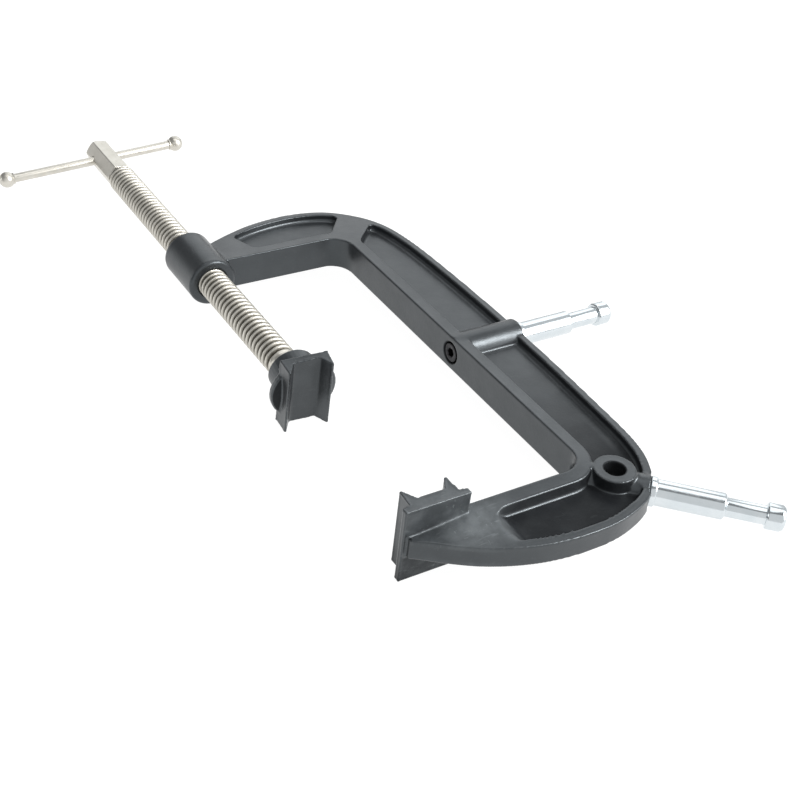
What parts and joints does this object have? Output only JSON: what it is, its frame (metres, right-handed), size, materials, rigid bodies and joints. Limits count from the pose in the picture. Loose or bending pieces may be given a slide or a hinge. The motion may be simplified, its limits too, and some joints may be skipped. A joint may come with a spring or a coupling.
{
  "type": "c clamp",
  "caption": "Cast C clamp for fixing stage lights: wide C frame, screw with sliding T-bar, tilting V jaw facing a fixed V jaw, and two mounting studs.",
  "frame": {"origin": "centre of the fixed jaw's gripping floor", "axes": "+Y along the screw from the fixed jaw towards the T-bar, +X from the screw to the spine, +Z normal to the plane of the C"},
  "size_m": [0.32, 0.5832, 0.0505],
  "materials": {
    "black_paint": "satin black powder coat over a sand casting, slightly textured",
    "nickel_plate": "warm nickel plate over turned steel, semi-gloss",
    "zinc_plate": "bright bluish zinc plate over turned steel",
    "black_oxide": "black oxide"
  },
  "bodies": {
    "frame": {"c_frame": "black_paint", "mid_stud": "zinc_plate", "mid_stud_bolt": "black_oxide", "mid_stud_lock_washer": "black_oxide", "corner_stud": "zinc_plate", "eye_set_screw": "black_oxide"},
    "jaw_ring": {"jaw_retaining_ring": "black_oxide"},
    "screw": {"lead_screw": "nickel_plate"},
    "t_bar": {"t_bar": "nickel_plate", "t_bar_ball_left": "nickel_plate", "t_bar_ball_right": "nickel_plate"},
    "swivel_washer": {"jaw_thrust_washer": "nickel_plate"},
    "moving_jaw": {"moving_jaw": "black_paint"}
  },
  "joints": [
    {"name": "screw_feed", "type": "slide", "parent": "frame", "child": "jaw_ring", "axis": [0, -1, 0], "range_m": [-0.106, 0.113]},
    {"name": "screw_turn", "type": "hinge", "parent": "jaw_ring", "child": "screw", "pos_m": [0, 0.3, 0], "axis": [0, -1, 0], "range_deg": [-8280, 8820]},
    {"name": "t_bar_slide", "type": "slide", "parent": "screw", "child": "t_bar", "axis": [0.998, 0, 0.0628], "range_m": [-0.0425, 0.0611]},
    {"name": "jaw_swivel", "type": "hinge", "parent": "jaw_ring", "child": "swivel_washer", "pos_m": [0, 0.1496, 0], "axis": [0, 1, 0], "continuous": true},
    {"name": "jaw_tilt", "type": "hinge", "parent": "swivel_washer", "child": "moving_jaw", "pos_m": [0, 0.1496, 0], "axis": [0.7837, 0, -0.6211], "range_deg": [-15.6, 0]}
  ],
  "couplings": [
    {"joint": "screw_feed", "follows": "screw_turn", "m_per_rad": 0.00073211}
  ]
}
